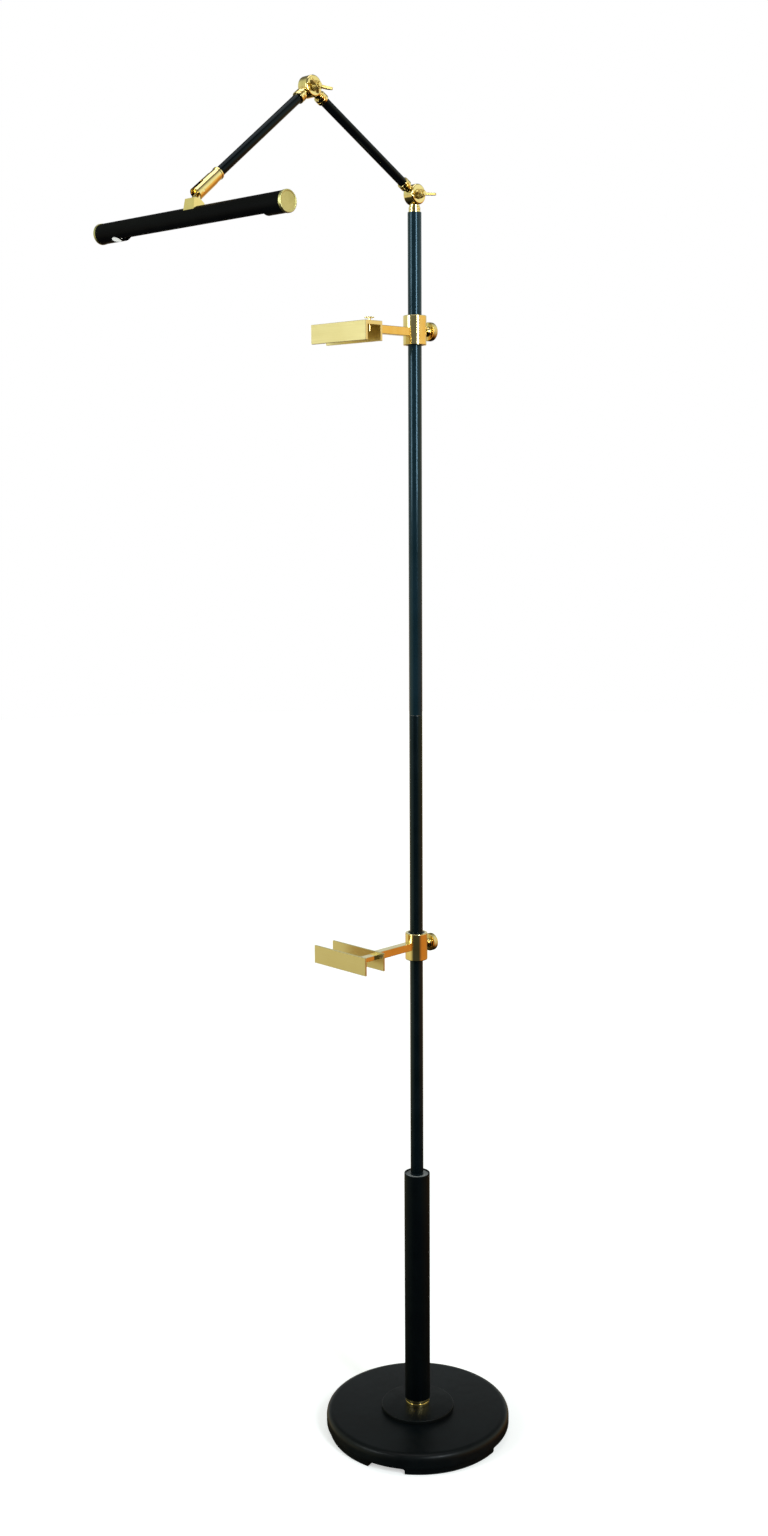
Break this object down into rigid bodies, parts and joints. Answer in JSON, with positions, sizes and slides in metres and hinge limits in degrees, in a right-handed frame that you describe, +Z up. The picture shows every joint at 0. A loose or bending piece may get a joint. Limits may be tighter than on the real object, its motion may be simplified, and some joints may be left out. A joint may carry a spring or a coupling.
{
  "type": "easel floor lamp",
  "caption": "Tall floor lamp with a weighted disc base, sliding brackets that hold a picture on the stem, and a jointed brass arm with a slim tubular picture light.",
  "frame": {"origin": "on the floor, on the stem's axis, in the plane of the base's felt pad", "axes": "+Z up the stem; the arms reach towards -Y; +X runs along the light bar, towards the wing nuts"},
  "size_m": [0.377, 0.5649, 2.0344],
  "materials": {
    "black_base": "satin black lacquer over cast iron",
    "felt": "pressed felt",
    "grommet_rubber": "matt",
    "black_disc": "satin black lacquer",
    "steel": "zinc-plated steel",
    "polished_brass": "polished, lacquered brass",
    "black_column": "satin black lacquer",
    "bush_plastic": "light grey moulded plastic",
    "black_stem": "semi-gloss black lacquer",
    "black_arm": "semi-gloss black lacquer",
    "black_bar": "satin black lacquer",
    "turned_brass": "turned brass with concentric tool marks",
    "reflector_white": "white enamel",
    "holder_ceramic": "white porcelain",
    "bulb_glass": "opal glass",
    "switch_case": "moulded plastic",
    "switch_white": "white moulded plastic",
    "liner_plastic": "black moulded plastic",
    "brushed_brass": "fine brushed, lacquered brass"
  },
  "bodies": {
    "stand": {"base_casting": "black_base", "felt_pad": "felt", "cord_grommet": "grommet_rubber", "raised_disc": "black_disc", "base_rod": "steel", "base_washer": "steel", "base_nut": "steel", "base_collar": "polished_brass", "column_tube": "black_column", "column_top_bush": "bush_plastic", "stem_socket": "steel", "stem_lower_tube": "black_stem", "stem_upper_tube": "black_stem", "stem_coupler": "steel", "stem_top_collar": "polished_brass"},
    "head_swivel": {"shoulder_lower_half": "polished_brass", "swivel_retainer": "steel", "shoulder_bolt": "polished_brass", "shoulder_washer": "polished_brass"},
    "shoulder_nut": {"shoulder_wing_nut": "polished_brass"},
    "arm_1": {"shoulder_upper_half": "polished_brass", "arm_1_lower_ferrule": "polished_brass", "arm_1_tube": "black_arm", "arm_1_upper_ferrule": "polished_brass", "elbow_lower_half": "polished_brass"},
    "arm_2": {"elbow_upper_half": "polished_brass", "elbow_bolt": "polished_brass", "elbow_washer": "polished_brass", "arm_2_upper_ferrule": "polished_brass", "arm_2_tube": "black_arm", "arm_2_end_plug": "polished_brass"},
    "elbow_nut": {"elbow_wing_nut": "polished_brass"},
    "sleeve": {"head_sleeve": "polished_brass", "head_pivot_pin": "polished_brass"},
    "light_bar": {"head_neck": "polished_brass", "bar_block": "polished_brass", "block_screws": "steel", "bar_tube": "black_bar", "bar_near_cap": "turned_brass", "bar_far_cap": "turned_brass", "reflector": "reflector_white", "lampholders": "holder_ceramic", "tubular_bulbs": "bulb_glass", "switch_body": "switch_case"},
    "switch": {"switch_rocker": "switch_white"},
    "upper_slider": {"upper_liner": "liner_plastic"},
    "upper_bracket": {"upper_clamp_ring": "polished_brass", "upper_arm_screw": "steel", "upper_arm_bar": "polished_brass", "upper_channel": "brushed_brass"},
    "upper_thumb": {"upper_thumb_screw": "polished_brass"},
    "upper_knob": {"upper_clamp_knob": "polished_brass"},
    "lower_slider": {"lower_liner": "liner_plastic"},
    "lower_bracket": {"lower_clamp_ring": "polished_brass", "lower_arm_screw": "steel", "lower_arm_bar": "polished_brass", "lower_rear_plate": "brushed_brass", "lower_front_plate": "brushed_brass", "lower_shelf_bar": "polished_brass"},
    "lower_knob": {"lower_clamp_knob": "polished_brass"}
  },
  "joints": [
    {"name": "head_swivel_turn", "type": "hinge", "parent": "stand", "child": "head_swivel", "pos_m": [0, 0, 1.904], "axis": [0, 0, 1], "range_deg": [-175, 175]},
    {"name": "shoulder_tilt", "type": "hinge", "parent": "head_swivel", "child": "arm_1", "pos_m": [0, 0, 1.904], "axis": [-1, 0, 0], "range_deg": [-60, 150]},
    {"name": "shoulder_nut_turn", "type": "hinge", "parent": "head_swivel", "child": "shoulder_nut", "pos_m": [0, 0, 1.904], "axis": [1, 0, 0], "continuous": true},
    {"name": "elbow_tilt", "type": "hinge", "parent": "arm_1", "child": "arm_2", "pos_m": [0, -0.20199, 2.02015], "axis": [1, 0, 0], "range_deg": [-180, 55]},
    {"name": "elbow_nut_turn", "type": "hinge", "parent": "arm_2", "child": "elbow_nut", "pos_m": [0, -0.20199, 2.02015], "axis": [1, 0, 0], "continuous": true},
    {"name": "sleeve_twist", "type": "hinge", "parent": "arm_2", "child": "sleeve", "pos_m": [0, -0.20199, 2.02015], "axis": [0, -0.7793, -0.6266], "range_deg": [-170, 170]},
    {"name": "light_tilt", "type": "hinge", "parent": "sleeve", "child": "light_bar", "pos_m": [0, -0.39604, 1.86412], "axis": [-1, 0, 0], "range_deg": [-60, 70]},
    {"name": "switch_rock", "type": "hinge", "parent": "light_bar", "child": "switch", "pos_m": [-0.1588, -0.40781, 1.82345], "axis": [0, -0.9272, 0.3746], "range_deg": [-5, 5]},
    {"name": "upper_slide", "type": "slide", "parent": "stand", "child": "upper_slider", "axis": [0, 0, 1], "range_m": [-0.83, 0.13]},
    {"name": "upper_swivel", "type": "hinge", "parent": "upper_slider", "child": "upper_bracket", "pos_m": [0, 0, 1.7147], "axis": [0, 0, 1], "range_deg": [-180, 180]},
    {"name": "upper_thumb_turn", "type": "hinge", "parent": "upper_bracket", "child": "upper_thumb", "pos_m": [0.0065, -0.09925, 1.7255], "axis": [0, 0, 1], "continuous": true},
    {"name": "upper_knob_turn", "type": "hinge", "parent": "upper_bracket", "child": "upper_knob", "pos_m": [0, 0.0265, 1.7147], "axis": [0, 1, 0], "continuous": true},
    {"name": "lower_slide", "type": "slide", "parent": "stand", "child": "lower_slider", "axis": [0, 0, 1], "range_m": [-0.34, 0.83]},
    {"name": "lower_swivel", "type": "hinge", "parent": "lower_slider", "child": "lower_bracket", "pos_m": [0, 0, 0.7964], "axis": [0, 0, 1], "range_deg": [-180, 180]},
    {"name": "lower_knob_turn", "type": "hinge", "parent": "lower_bracket", "child": "lower_knob", "pos_m": [0, 0.0265, 0.7964], "axis": [0, 1, 0], "continuous": true}
  ]
}
